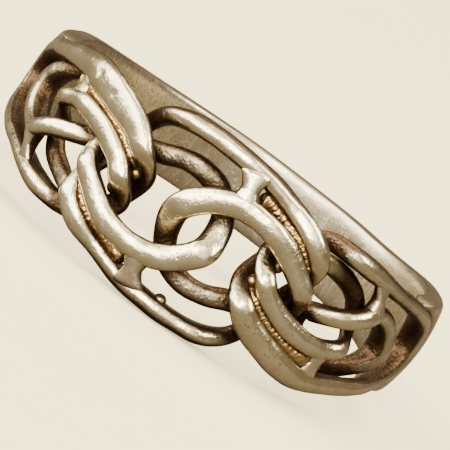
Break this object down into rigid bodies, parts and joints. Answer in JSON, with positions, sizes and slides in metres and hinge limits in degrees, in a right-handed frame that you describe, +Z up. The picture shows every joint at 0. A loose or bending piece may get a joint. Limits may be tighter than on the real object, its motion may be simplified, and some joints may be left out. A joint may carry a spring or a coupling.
{
  "type": "finger ring",
  "caption": "Finger ring with an openwork front of interlinked oval wire links between two flared shoulders, closed by a plain tapered shank.",
  "frame": {"origin": "middle of the ring's bounding box, in the middle of its width and 0.25 mm in front of the finger hole's axis", "axes": "+Z along the finger hole, -Y towards the middle of the openwork front, +X to the right when the front is looked at with +Z up"},
  "size_m": [0.0206, 0.0212, 0.008],
  "materials": {
    "polished_links": "worn polished silver with a faint gold wash, dark tarnish in the recesses",
    "soldered_stems": "polished on top, granular solder at the roots",
    "plain_band": "satin worn silver with a faint gold wash"
  },
  "bodies": {
    "root": {"centre_large_link": "polished_links", "centre_left_link": "polished_links", "centre_right_link": "polished_links", "left_large_link": "polished_links", "left_middle_link": "polished_links", "left_outer_link": "polished_links", "right_large_link": "polished_links", "right_middle_link": "polished_links", "right_outer_link": "polished_links", "centre_upper_stem": "soldered_stems", "centre_lower_stem": "soldered_stems", "left_upper_stem": "soldered_stems", "left_lower_stem": "soldered_stems", "right_upper_stem": "soldered_stems", "right_lower_stem": "soldered_stems", "shank": "plain_band", "left_shoulder": "plain_band", "right_shoulder": "plain_band"}
  },
  "joints": []
}
